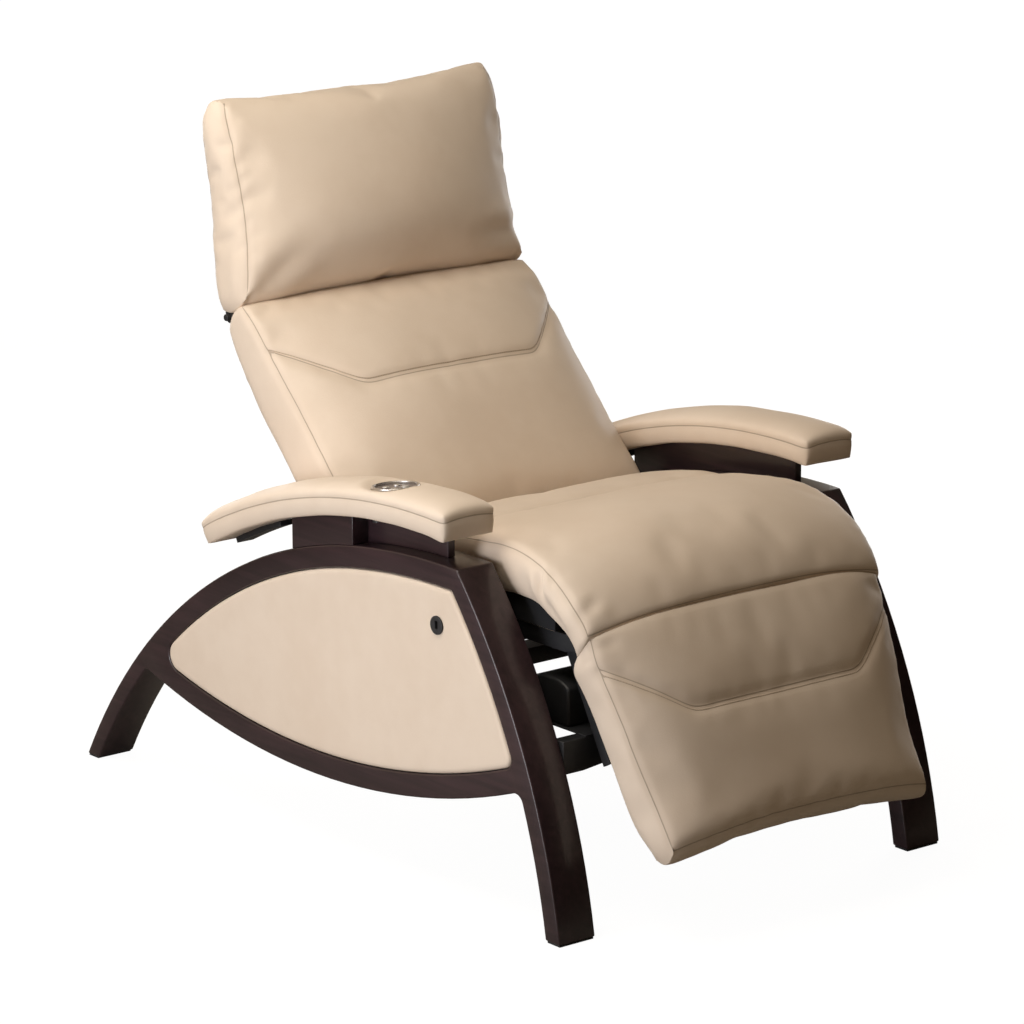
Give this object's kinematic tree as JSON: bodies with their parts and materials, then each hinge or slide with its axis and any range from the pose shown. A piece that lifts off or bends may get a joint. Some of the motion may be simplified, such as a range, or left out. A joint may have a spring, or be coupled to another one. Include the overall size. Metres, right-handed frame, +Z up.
{
  "type": "massage chair",
  "caption": "Powered recliner with massage rollers: padded seat, back, pillow and leg rest on two arched wooden side frames.",
  "frame": {"origin": "on the floor, at the middle of the footprint's box", "axes": "+Z up, the chair faces -Y, +X to the sitter's left"},
  "size_m": [0.728, 1.2266, 0.998],
  "materials": {
    "espresso_wood": "dark espresso stain under a semi-gloss lacquer",
    "cream_leather": "soft satin leather, warm cream",
    "black_board": "black painted board",
    "glide_rubber": "matt",
    "black_paint": "satin black powder coat",
    "bright_steel": "zinc plated",
    "black_plastic": "fine matt texture",
    "keypad_face": "satin taupe",
    "circuit_board": "solder mask",
    "polished_chrome": "polished",
    "birch_ply": "raw plywood",
    "webbing": "woven elastic webbing",
    "black_cloth": "thin black dust cloth",
    "roller_rubber": "matt"
  },
  "bodies": {
    "base": {"side_frame_right": "espresso_wood", "side_frame_left": "espresso_wood", "side_panel_right": "cream_leather", "side_panel_left": "cream_leather", "panel_board_right": "black_board", "panel_board_left": "black_board", "foot_glides": "glide_rubber", "front_stretcher": "black_paint", "rear_stretcher": "black_paint", "arm_rail_right": "espresso_wood", "arm_rail_left": "espresso_wood", "arm_block_right": "espresso_wood", "arm_block_left": "espresso_wood", "arm_pad_right": "cream_leather", "arm_pad_left": "cream_leather", "arm_straps": "black_paint", "arm_brackets": "bright_steel", "pivot_brackets": "black_paint", "pivot_pins": "bright_steel", "frame_screws": "bright_steel", "panel_socket": "black_plastic", "socket_core": "bright_steel", "keypad_cup": "black_plastic", "keypad_board": "circuit_board", "keypad_plate": "keypad_face", "keypad_rim": "polished_chrome", "control_tray": "black_paint", "control_box": "black_plastic", "power_supply": "black_plastic", "power_inlet": "bright_steel", "actuator_clevis": "black_paint"},
    "seat": {"seat_frame": "black_paint", "seat_pan": "birch_ply", "seat_straps": "webbing", "seat_cushion": "cream_leather", "dust_cover": "black_cloth", "seat_lining": "black_cloth", "seat_vibrator": "black_plastic", "rod_pin": "bright_steel", "back_pins": "bright_steel", "leg_pins": "bright_steel"},
    "back": {"back_frame": "black_paint", "back_cushion": "cream_leather", "back_cover": "cream_leather", "roller_track": "bright_steel", "lift_screw": "bright_steel"},
    "carriage": {"roller_carriage": "black_plastic"},
    "rollers": {"kneading_rollers": "roller_rubber"},
    "headrest": {"headrest_frame": "black_paint", "headrest_pillow": "cream_leather"},
    "leg_rest": {"leg_arms": "black_paint", "leg_board": "black_board", "leg_cushion": "cream_leather", "calf_vibrator": "black_plastic"},
    "actuator": {"actuator_body": "black_plastic"},
    "rod": {"actuator_rod": "bright_steel"},
    "button_front_outer": {"button_front_outer": "polished_chrome"},
    "button_front_inner": {"button_front_inner": "polished_chrome"},
    "button_rear_outer": {"button_rear_outer": "polished_chrome"},
    "button_rear_inner": {"button_rear_inner": "polished_chrome"}
  },
  "joints": [
    {"name": "seat_tilt", "type": "hinge", "parent": "base", "child": "seat", "pos_m": [0, -0.0458, 0.378], "axis": [-1, 0, 0], "range_deg": [0, 15]},
    {"name": "back_recline", "type": "hinge", "parent": "seat", "child": "back", "pos_m": [0, 0.0382, 0.376], "axis": [-1, 0, 0], "range_deg": [0, 20]},
    {"name": "leg_rest_lift", "type": "hinge", "parent": "seat", "child": "leg_rest", "pos_m": [0, -0.4288, 0.388], "axis": [-1, 0, 0], "range_deg": [0, 28]},
    {"name": "actuator_swing", "type": "hinge", "parent": "base", "child": "actuator", "pos_m": [0, 0.2392, 0.19], "axis": [-1, 0, 0], "range_deg": [0, 4.92]},
    {"name": "actuator_extend", "type": "slide", "parent": "actuator", "child": "rod", "axis": [0, -0.9476, 0.3193], "range_m": [0, 0.01913]},
    {"name": "headrest_tilt", "type": "hinge", "parent": "back", "child": "headrest", "pos_m": [0, 0.37071, 0.69181], "axis": [1, 0, 0], "range_deg": [-12, 8]},
    {"name": "carriage_travel", "type": "slide", "parent": "back", "child": "carriage", "axis": [0, 0.6896, 0.7242], "range_m": [0, 0.225]},
    {"name": "roller_spin", "type": "hinge", "parent": "carriage", "child": "rollers", "pos_m": [0, 0.12375, 0.46438], "axis": [1, 0, 0], "continuous": true},
    {"name": "button_front_outer_press", "type": "slide", "parent": "base", "child": "button_front_outer", "axis": [0, -0.0907, -0.9959], "range_m": [0, 0.001], "stiffness_N_per_m": 500, "springref_m": -0.0008},
    {"name": "button_front_inner_press", "type": "slide", "parent": "base", "child": "button_front_inner", "axis": [0, -0.0907, -0.9959], "range_m": [0, 0.001], "stiffness_N_per_m": 500, "springref_m": -0.0008},
    {"name": "button_rear_outer_press", "type": "slide", "parent": "base", "child": "button_rear_outer", "axis": [0, -0.0907, -0.9959], "range_m": [0, 0.001], "stiffness_N_per_m": 500, "springref_m": -0.0008},
    {"name": "button_rear_inner_press", "type": "slide", "parent": "base", "child": "button_rear_inner", "axis": [0, -0.0907, -0.9959], "range_m": [0, 0.001], "stiffness_N_per_m": 500, "springref_m": -0.0008}
  ],
  "couplings": [
    {"joint": "back_recline", "follows": "seat_tilt", "ratio": 1.3333},
    {"joint": "leg_rest_lift", "follows": "seat_tilt", "ratio": 1.8667},
    {"joint": "actuator_swing", "follows": "seat_tilt", "ratio": 0.32719},
    {"joint": "actuator_extend", "follows": "seat_tilt", "m_per_rad": 0.073013}
  ]
}
